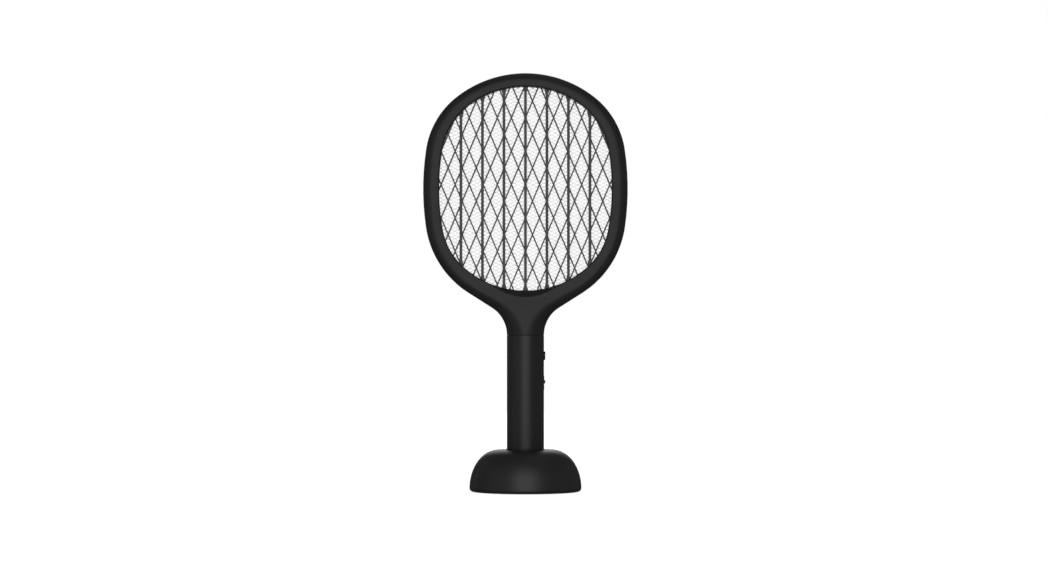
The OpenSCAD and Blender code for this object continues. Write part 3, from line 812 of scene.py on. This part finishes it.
def expandedSheet(spec, y):
    # a square net turned 45 degrees and stretched to diamonds, each cell inset and emptied,
    # trimmed to the opening, then given its thickness
    bm = bmesh.new()
    cells = spec["cells"]
    bmesh.ops.create_grid(bm, x_segments=cells, y_segments=cells, size=cells / 2)
    bmesh.ops.rotate(bm, cent=(0, 0, 0), matrix=Matrix.Rotation(pi / 4, 3, "Z"), verts=bm.verts)
    diagonal = sqrt(2)
    bmesh.ops.scale(bm, vec=(spec["wide"] / diagonal, spec["high"] / diagonal, 1), verts=bm.verts)
    placed(bm, moveTo(0, y - spec["thick"] / 2, spec["crossing"]) @ turn(90, "X"))
    openCells = bm.faces[:]
    bmesh.ops.inset_individual(bm, faces=openCells, thickness=spec["strand"] / 2, use_even_offset=True)
    bmesh.ops.delete(bm, geom=openCells, context="FACES")
    for side in (-1, 1):
        for heading in range(0, 181, 6):
            edge = openingPoint(heading, guardBorder - 0.2)
            a = radians(heading)
            bmesh.ops.bisect_plane(
                bm, geom=bm.verts[:] + bm.edges[:] + bm.faces[:], dist=1e-4, clear_outer=True,
                plane_co=(side * edge.x, 0, edge.y), plane_no=(side * sin(a), 0, cos(a)))
    if spec["wave"]:
        room = (boxMm("hv_grid")[1].y - spec["thick"] / 2) * spec["wave"]
        for vert in bm.verts:
            vert.co.y += room * cos(2 * pi * (vert.co.z - spec["crossing"]) / spec["high"])
    sheet = bmesh.ops.extrude_face_region(bm, geom=bm.faces[:], use_keep_orig=True)["geom"]
    lifted = [v for v in sheet if isinstance(v, bmesh.types.BMVert)]
    bmesh.ops.translate(bm, vec=(0, spec["thick"], 0), verts=lifted)
    bmesh.ops.recalc_face_normals(bm, faces=bm.faces)
    if spec["round"]:
        roundEdges(bm, spec["round"], 1, 60)
    return bm


for name, node, kind in (("ground_lattice_front", "front_grille", "grille"),
                         ("ground_lattice_rear", "rear_grille", "grille"),
                         ("charged_mesh", "hv_grid", "charged")):
    low, high = boxMm(node)
    addPiece(name, expandedSheet(sheets[kind], (low.y + high.y) / 2), node, smooth=25)
print("grids made")


screwKinds = {
    "frame_screws": {"head": 2.3, "headTop": 1.9, "headHigh": 1.8, "shaft": 1.3, "thread": 1.05,
                     "plain": 6, "long": 11.5, "recess": 1.15, "eachTurned": 17},
    "base_screws": {"head": 2.4, "headTop": 2.1, "headHigh": 1.6, "shaft": 1.2, "thread": 1.2,
                    "plain": 1, "long": 13.2, "recess": 1.2, "eachTurned": 23},
}
screwCut = {"core": 0.72, "pitch": 0.9, "taper": 1.2, "tip": 0.25, "edge": 0.35, "dome": 0.3,
            "underEdge": 0.15, "armWide": 0.3, "armDeep": 1.1, "armNarrows": (0.45, 0.8, 1)}


def screw(kind):
    # head upwards, its top at height 0
    under, cut, edge = -kind["headHigh"], screwCut, screwCut["edge"]
    thread, core = kind["thread"], kind["thread"] * cut["core"]
    points = [(0, 0), (kind["headTop"] - edge, 0), (kind["headTop"], -cut["dome"]),
              (kind["head"], under + edge), (kind["head"] - cut["underEdge"], under),
              (kind["shaft"], under), (kind["shaft"], under - kind["plain"])]
    z, tip = under - kind["plain"], under - kind["long"]
    while z - cut["pitch"] > tip + cut["taper"]:
        points += [(core, z - 0.15), (core, z - 0.35), (thread, z - 0.6), (thread, z - 0.7)]
        z -= cut["pitch"]
    points += [(core, z - 0.2), (cut["tip"], tip), (0, tip)]
    shape = lathe(points, 28, False)
    low = (-kind["recess"], -cut["armWide"], -cut["armDeep"])
    high = (kind["recess"], cut["armWide"], 0.5)
    for a in (0, 90):
        arm = placed(block(low, high), turn(a, "Z"))
        bmesh.ops.scale(arm, vec=cut["armNarrows"], verts=[v for v in arm.verts if v.co.z < 0])
        shape = combined(shape, [arm])
    return shape


def makeScrews(name, node, facing):
    # facing gives the matrix that sets one screw's head at its place
    kind = screwKinds[node]
    shape = screw(kind)
    addPiece(name, joined([placed(shape.copy(), facing(site) @ turn(kind["eachTurned"] * i, "Z"))
                           for i, site in enumerate(centresOf(node))]), node)
    shape.free()


frameScrewTop, baseScrewLow = boxMm("frame_screws")[1].y, boxMm("base_screws")[0].z
makeScrews("head_screws", "frame_screws", lambda s: moveTo(s.x, frameScrewTop, s.z) @ turn(-90, "X"))
makeScrews("base_plate_screws", "base_screws", lambda s: moveTo(s.x, s.y, baseScrewLow) @ turn(180, "X"))
print("screws made")


handle = {"wall": 2, "rimRound": 0.2, "buttonHole": 9.4, "plateWide": 8, "plateHigh": 14.5,
          "pipeHole": 3.1, "screwHole": 2.4, "holeRound": 0.25, "steps": 160,
          "cutFrom": 10, "screwCutFrom": 13, "cutTo": 25, "endClear": 0.6}
buttonZ, plateZ, pipeZ = [sum(boxMm(node)[i].z for i in (0, 1)) / 2
                          for node in ("switch_plunger", "switch_plate", "light_pipe")]


def slotOutline(wide, high, centre):
    w, h = wide / 2, high / 2
    r = w - 0.001
    return path([(-w, centre - h, r), (w, centre - h, r), (w, centre + h, r), (-w, centre + h, r)],
                stepAngle=12)


def makeHandle():
    low, high = boxMm("handle_tube")
    outer, inner = handleRadius, handleRadius - handle["wall"]
    edge, near, far = handle["rimRound"], handle["cutFrom"], handle["cutTo"]
    shape = lathe(path([(inner, low.z), (outer, low.z, edge), (outer, high.z, edge), (inner, high.z)]),
                  handle["steps"])
    sideways = turn(90, "Y")
    slot = slotOutline(handle["plateWide"], handle["plateHigh"], plateZ)
    tools = [placed(rod(handle["buttonHole"] / 2, near, far), moveTo(0, 0, buttonZ) @ sideways),
             placed(rod(handle["pipeHole"] / 2, near, far, 24), moveTo(0, 0, pipeZ) @ sideways),
             placed(prism(slot, -far, -near), turn(90, "Z"))]
    for site in centresOf("cap_screws"):
        tools.append(placed(rod(handle["screwHole"] / 2, handle["screwCutFrom"], far, 24),
                            moveTo(0, 0, site.z) @ turn(-90 if site.y > 0 else 90, "X")))
    shape = combined(shape, tools)
    clear = handle["endClear"]
    roundEdges(shape, handle["holeRound"], 2, 60, lambda p: hypot(p.x, p.y) > outer - 0.2
               and low.z + clear < p.z < high.z - clear)
    addPiece("handle_sleeve", shape, "handle_tube")


trigger = {"face": 8.8, "dish": 0.35, "dishWide": 0.8, "dishSteps": 6, "edge": 0.45, "flangeHigh": 1.4}


def makeTrigger():
    low, high = boxMm("trigger_button")
    flange, face, steps = (high.z - low.z) / 2, trigger["face"] / 2, trigger["dishSteps"]
    dish = [(face * trigger["dishWide"] * k / steps, high.x - trigger["dish"] * (1 - (k / steps) ** 2))
            for k in range(steps + 1)]
    foot = low.x + trigger["flangeHigh"]
    rim = corner(Vector((face, low.x)), Vector((face, high.x)), Vector((0, high.x)), trigger["edge"], 15)
    step = [(0, low.x), (flange, low.x), (flange, foot), (face, foot)]
    shape = lathe(step + rim + dish[::-1], 72, False)
    addPiece("trigger_cap", placed(shape, moveTo(0, 0, buttonZ) @ turn(90, "Y")), "trigger_button")


slider = {"wide": 3.4, "high": 3.6, "grooves": 4, "depth": 0.3, "edge": 0.25, "endRound": 0.3,
          "crestRound": 0.06, "grooveRound": 0.08, "grooveShare": 0.28, "stemFrom": 1, "carrierHigh": 1.5}


def makeSlider():
    low, high = boxMm("mode_slider")
    middle, half, across = (low.z + high.z) / 2, slider["high"] / 2, slider["wide"] / 2
    pitch = slider["high"] / (slider["grooves"] + 0.5)
    crest = [(high.x, middle - half, slider["endRound"])]
    for k in range(slider["grooves"]):
        z = middle + pitch * (k - (slider["grooves"] - 1) / 2)
        bank = pitch * slider["grooveShare"]
        crest += [(high.x, z - bank, slider["crestRound"]),
                  (high.x - slider["depth"], z, slider["grooveRound"]),
                  (high.x, z + bank, slider["crestRound"])]
    crest.append((high.x, middle + half, slider["endRound"]))
    stem = low.x + slider["stemFrom"]
    side = path([(stem, middle - half)] + crest + [(stem, middle + half)], True, 30)
    knob = prism(side, -across, across)
    roundEdges(knob, slider["edge"], 2, 70, lambda p: abs(abs(p.y) - across) < 0.01)
    carrier = block(low, (low.x + slider["carrierHigh"], high.y, high.z), slider["edge"], 2)
    addPiece("slider_knob", joined([knob, carrier]), "mode_slider")


lightPipe = {"lens": 0.5, "lensSteps": 6, "edge": 0.15}


def makeLight():
    low, high = boxMm("light_pipe")
    radius, lens = (high.z - low.z) / 2, lightPipe["lens"]
    steps, edge = lightPipe["lensSteps"], lightPipe["edge"]
    face = [(radius * cos(a), high.x - lens + lens * sin(a))
            for a in (pi / 2 * k / steps for k in range(steps))]
    shape = lathe([(0, low.x), (radius - edge, low.x), (radius, low.x + edge)] + face + [(0, high.x)],
                  40, False)
    addPiece("status_light_pipe", placed(shape, moveTo(0, 0, pipeZ) @ turn(90, "Y")), "light_pipe")


makeHandle()
makeTrigger()
makeSlider()
makeLight()
print("handle made")


base = {"flatRadius": 28.6, "belt": 3.6, "wall": 2.2, "socketGap": 0.6, "socketRound": 0.7,
        "seamRound": 0.18, "boss": 3, "bossLow": 7, "bossHigh": 29, "pilot": 1.2, "pilotLow": 6,
        "pilotHigh": 18, "steps": 176}
inlet = {"gap": 0.3, "round": 0.9, "cutFrom": 50, "cutTo": 62, "edgeRound": 0.25,
         "tongueIn": 1.3, "tongueFrom": 51, "tongueTo": 56, "tongueHalf": 0.35,
         "strips": 9, "stripIn": 2.2, "stripPitch": 0.58, "stripWide": 0.15, "stripFrom": 51.5,
         "stripTo": 55.4, "stripHalf": 0.42}
baseSites = centresOf("base_screws")
shellLow, shellHigh = boxMm("base_shell")
baseRadius = shellHigh.y


def dome(inset):
    spread = baseRadius - base["flatRadius"] - inset
    rise = shellHigh.z - base["belt"] - inset
    return [Vector((base["flatRadius"] + spread * cos(a), base["belt"] + rise * sin(a)))
            for a in (radians(d) for d in range(0, 91, 5))]


def rodsAt(sites, radius, low, high, steps):
    return [stoodAt(rod(radius, low, high, steps), site) for site in sites]


def inletTool():
    low, high = boxMm("charge_port")
    grow, r = inlet["gap"], inlet["round"]
    w, h, z = (high.x - low.x) / 2 + grow, (high.z - low.z) / 2 + grow, (low.z + high.z) / 2
    return prism(path([(-w, z - h, r), (w, z - h, r), (w, z + h, r), (-w, z + h, r)]),
                 inlet["cutFrom"], inlet["cutTo"])


def makeDome():
    radius, top, low, wall = baseRadius, shellHigh.z, shellLow.z, base["wall"]
    socket = handleRadius + base["socketGap"]
    rim = corner(Vector((base["flatRadius"], top)), Vector((socket, top)), Vector((socket, top - wall)),
                 base["socketRound"], 15)
    foot = corner(Vector((radius - wall, low)), Vector((radius, low)), Vector((radius, base["belt"])),
                  base["seamRound"], 30)
    shape = lathe(foot + dome(0) + rim + [Vector((socket, top - wall))] + dome(wall)[::-1]
                  + [Vector((radius - wall, low))], base["steps"])
    bosses = rodsAt(baseSites, base["boss"], base["bossLow"], base["bossHigh"], 32)
    shape = combined(shape, bosses, "UNION")
    pilots = rodsAt(baseSites, base["pilot"], base["pilotLow"], base["pilotHigh"], 24)
    shape = combined(shape, pilots + [inletTool()])
    roundEdges(shape, inlet["edgeRound"], 2, 50,
               lambda p: p.y > radius - 4 and abs(p.x) < 6 and 5 < p.z < 14)
    addPiece("base_dome", shape, "base_shell")


tray = {"round": 4.6, "seamGap": 0.3, "lip": 0.15, "rimGap": 0.3, "rimHigh": 6.5, "rimWall": 1.5,
        "floorTop": 2.6, "tower": 3, "towerFrom": 1.2, "post": 2, "posts": ((-7, 44), (7, 44)),
        "screwHole": 1.4, "screwTop": 8, "headHole": 2.6, "headTop": 3.2, "padHole": 48.2,
        "padTop": 1.2, "holeRound": 0.2, "notchLow": (-6, 50, 4), "notchHigh": (6, 62, 9)}


def makeTray():
    low, high = boxMm("base_plate")
    bend, inner, outer = tray["round"], baseRadius - base["wall"] - tray["rimGap"], high.y
    seamTop, rimTop, core = shellLow.z - tray["seamGap"], tray["rimHigh"], inner - tray["rimWall"]
    edge = [(outer - bend * (1 - sin(a)), low.z + (seamTop - low.z) * (1 - cos(a)))
            for a in (radians(d) for d in range(0, 91, 9))]
    inside = [(outer - tray["lip"], seamTop), (inner, seamTop), (inner, rimTop), (core, rimTop),
              (core, tray["floorTop"]), (0, tray["floorTop"])]
    shape = lathe([(0, low.z)] + edge + inside, base["steps"], False)
    shape = combined(shape, rodsAt(baseSites, tray["tower"], tray["towerFrom"], high.z, 32)
                     + rodsAt(tray["posts"], tray["post"], tray["towerFrom"], high.z, 24), "UNION")
    for tools in (rodsAt(baseSites, tray["screwHole"], 0, tray["screwTop"], 24),
                  rodsAt(baseSites, tray["headHole"], 0, tray["headTop"], 32),
                  [rod(tray["padHole"], 0, tray["padTop"], 128)],
                  [block(tray["notchLow"], tray["notchHigh"])]):
        shape = combined(shape, tools)
    roundEdges(shape, tray["holeRound"], 2, 50, lambda p: p.z < 1.3 and hypot(p.x, p.y) < 54)
    addPiece("base_tray", shape, "base_plate")


footPad = {"grooves": (14, 24, 34, 43), "groove": 0.8, "grooveFloor": 0.5, "deep": 0.45,
           "grooveRound": 0.2, "lowRound": 0.4, "highRound": 0.2}


def makeFootPad():
    high = boxMm("foot_pad")[1]
    wide, floor = footPad["groove"], footPad["grooveFloor"]
    deep, r = footPad["deep"], footPad["grooveRound"]
    ribs = []
    for g in footPad["grooves"]:
        ribs += [(g - wide, 0, r), (g - floor, deep), (g + floor, deep), (g + wide, 0, r)]
    shape = turning([(0, 0)] + ribs + [(high.y, 0, footPad["lowRound"]),
                       (high.y, high.z, footPad["highRound"]), (0, high.z)], 128)
    addPiece("rubber_foot", shape, "foot_pad")


def makeInlet():
    low, high = boxMm("charge_port")
    middle, half = (low.z + high.z) / 2, inlet["tongueHalf"]
    tongue = block((low.x + inlet["tongueIn"], inlet["tongueFrom"], middle - half),
                   (high.x - inlet["tongueIn"], inlet["tongueTo"], middle + half), 0.15, 2)
    addPiece("port_tongue", tongue, "charge_port", stands=False, slot="component_black")
    wide, half = inlet["stripWide"], inlet["stripHalf"]
    near, far = inlet["stripFrom"], inlet["stripTo"]
    places = [low.x + inlet["stripIn"] + inlet["stripPitch"] * k for k in range(inlet["strips"])]
    strips = [block((x - wide, near, middle - half), (x + wide, far, middle + half), 0.04, 1)
              for x in places]
    addPiece("port_contacts", joined(strips), "charge_port", stands=False, slot="contact_brass")


makeDome()
makeTray()
makeFootPad()
makeInlet()
print("base made")


def coil(centre, radii, heights, turns, perTurn=28):
    # helix with its end turns closed up; radii and heights run from the first end to the last
    points = []
    count = round(turns * perTurn)
    for k in range(count + 1):
        share = k / count
        rise = share * share * (3 - 2 * share)
        a = 2 * pi * turns * share
        r = radii[0] + (radii[1] - radii[0]) * share
        points.append((centre.x + r * cos(a), centre.y + r * sin(a),
                       heights[0] + (heights[1] - heights[0]) * rise))
    return points


# fixedEnd is the height at which a pin's spring stands; the pin presses the spring down by 1 mm
chargePin = {"flange": 2, "flangeHigh": 0.8, "pin": 1.2, "tip": 0.65, "edge": 0.15, "fixedEnd": 4,
             "coil": 1.6, "wire": 0.25, "turns": 4.5}


def makeChargePin(side):
    spec = chargePin
    low, high = boxMm(side + "_pin")
    centre, shoulder = (low + high) / 2, low.z + spec["flangeHigh"]
    shape = turning([(0, low.z), (spec["flange"], low.z, spec["edge"]),
                        (spec["flange"], shoulder, spec["edge"]), (spec["pin"], shoulder),
                        (spec["pin"], high.z, spec["tip"]), (0, high.z)], 40)
    addPiece(side + "_charge_pin", stoodAt(shape, centre), side + "_pin")
    springLow, springHigh = boxMm(side + "_pin_spring")
    wire = spec["wire"]
    line = coil(centre, (spec["coil"],) * 2, (springLow.z + wire, springHigh.z - wire), spec["turns"])
    spring = wirePiece(side + "_coil_spring", side + "_pin_spring", [line], wire)
    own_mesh(spring)


batteryCoil = {"wire": 0.4, "topRadius": 4, "turns": 3.6}
chargePad = {"dishDeep": 0.15, "dishFrom": 0.55, "dishTo": 0.72, "dishRound": 0.3, "edge": 0.15}


def makeBatteryCoil():
    low, high = boxMm("battery_spring")
    wire = batteryCoil["wire"]
    line = coil(Vector((0, 0, 0)), (high.x - wire, batteryCoil["topRadius"]),
                (low.z + wire, high.z - wire), batteryCoil["turns"])
    wirePiece("battery_coil_spring", "battery_spring", [line], wire)


def makeChargePads():
    discs, spec = [], chargePad
    edge, r = spec["edge"], spec["dishRound"]
    for low, high in solidsOf("contact_pads"):
        radius, dish = (high.x - low.x) / 2, low.z + spec["dishDeep"]
        inner, outer = radius * spec["dishFrom"], radius * spec["dishTo"]
        shape = turning([(0, dish), (inner, dish, r), (outer, low.z, r), (radius, low.z, edge),
                         (radius, high.z, edge), (0, high.z)], 56)
        discs.append(stoodAt(shape, (low + high) / 2))
    addPiece("charge_pads", joined(discs), "contact_pads")


makeChargePin("left")
makeChargePin("right")
makeBatteryCoil()
makeChargePads()
print("contacts made")


# necked is how far the groove below the cell's cap is drawn in, at heights measured down from its top
cell = {"footIn": 0.9, "footHigh": 0.6, "grooveLow": 4, "groove": 3.4, "grooveHigh": 2.8, "necked": 0.35,
        "shoulder": 1, "button": 2.8}
transformer = {"plate": 3.2, "legDeep": 2, "legIn": 2, "windingRadius": 5.4, "windingIn": 3.1}
diode = {"lead": 0.35, "leadLong": 0.6, "edge": 0.3}
gridLead = {"wire": 0.55, "sway": 0.25, "points": 40, "endIn": 0.1}


def makeCell():
    low, high = boxMm("battery_cell")
    radius, top = high.y, high.z
    shape = turning([
        (0, low.z), (radius - cell["footIn"], low.z, 0.3), (radius, low.z + cell["footHigh"], 0.5),
        (radius, top - cell["grooveLow"], 0.6), (radius - cell["necked"], top - cell["groove"], 0.5),
        (radius, top - cell["grooveHigh"], 0.6), (radius, top - cell["shoulder"], 0.8),
        (cell["button"], top - cell["shoulder"], 0.3), (cell["button"], top, 0.4), (0, top)], 96)
    addPiece("battery_sleeve", shape, "battery_cell")


def makeTransformer():
    low, high = boxMm("hv_transformer")
    plate, deep, inset = transformer["plate"], transformer["legDeep"], transformer["legIn"]
    plates = [block((low.x, low.y, z0), (high.x, high.y, z1), 0.4, 2)
              for z0, z1 in ((low.z, low.z + plate), (high.z - plate, high.z))]
    legs = [block((low.x + inset, y0, low.z + 3), (high.x - inset, y1, high.z - 3), 0.3, 2)
            for y0, y1 in ((low.y, low.y + deep), (high.y - deep, high.y))]
    addPiece("transformer_core", joined(plates + legs), "hv_transformer", slot="component_black")
    r, inset = transformer["windingRadius"], transformer["windingIn"]
    bottom, top = low.z + inset, high.z - inset
    winding = turning([(0, bottom), (r, bottom, 0.5), (r, top, 0.5), (0, top)], 64)
    addPiece("transformer_winding", stoodAt(winding, (low + high) / 2), "hv_transformer", stands=False)


def makeSmallParts():
    lumps = [block(low, high, 1.9, 5) for low, high in solidsOf("hv_capacitors")]
    addPiece("film_capacitors", joined(lumps), "hv_capacitors", smooth=80)

    bodies = []
    lead, edge = diode["lead"], diode["edge"]
    for low, high in solidsOf("hv_diodes"):
        centre, r = (low + high) / 2, (high.x - low.x) / 2
        z0, z1 = low.z + diode["leadLong"], high.z - diode["leadLong"]
        shape = turning([(0, low.z), (lead, low.z), (lead, z0), (r, z0, edge), (r, z1, edge), (lead, z1),
                            (lead, high.z), (0, high.z)], 32)
        bodies.append(stoodAt(shape, centre))
    addPiece("rectifier_diodes", joined(bodies), "hv_diodes", material=bandedDiode("bandedDiode"))

    leads = []
    count, sway, inset = gridLead["points"], gridLead["sway"], gridLead["endIn"]
    for k, (low, high) in enumerate(solidsOf("grid_leads")):
        centre, long = (low + high) / 2, high.z - low.z - 2 * inset
        leads.append([(centre.x + sway * sin(3 * pi * i / count + k), centre.y,
                       low.z + inset + long * i / count) for i in range(count + 1)])
    wirePiece("grid_lead_wires", "grid_leads", leads, gridLead["wire"])


makeCell()
makeTransformer()
makeSmallParts()
print("electronics made")


# CAD nodes that are shown as they are, by the rounding of their edges in millimetres
keptBy = {
    0.35: "front_rib_guard rear_rib_guard", 0.3: "ballast_ring", 0.25: "end_cap",
    0.2: "front_spacer rear_spacer neck_spigot handle_chassis socket_cup",
    0.15: "drive_transistor push_switch switch_plunger pin_housing",
    0.12: "slide_switch switch_plate switch_lever charge_port",
    0.1: "battery_contact cap_screws", 0.08: "main_board charge_board",
}
kept = {node: width for width, names in keptBy.items() for node in names.split()}


def soften(node, width):
    obj = nodes[node]
    obj.material_slots[0].material = paints[slotOf[node]]
    weld = obj.modifiers.new("welded", "WELD")
    weld.merge_threshold = 1e-6
    edges = obj.modifiers.new("softEdges", "BEVEL")
    edges.width, edges.segments, edges.profile = width * mm, 2, 0.5
    edges.limit_method, edges.angle_limit = "ANGLE", radians(35)
    obj.modifiers.new("evenNormals", "WEIGHTED_NORMAL")


for node, width in kept.items():
    soften(node, width)
print("kept nodes softened:", len(kept))

unfinished = [n for n, o in nodes.items() if not o.hide_render and n not in kept]
print("nodes with no finish:", unfinished)
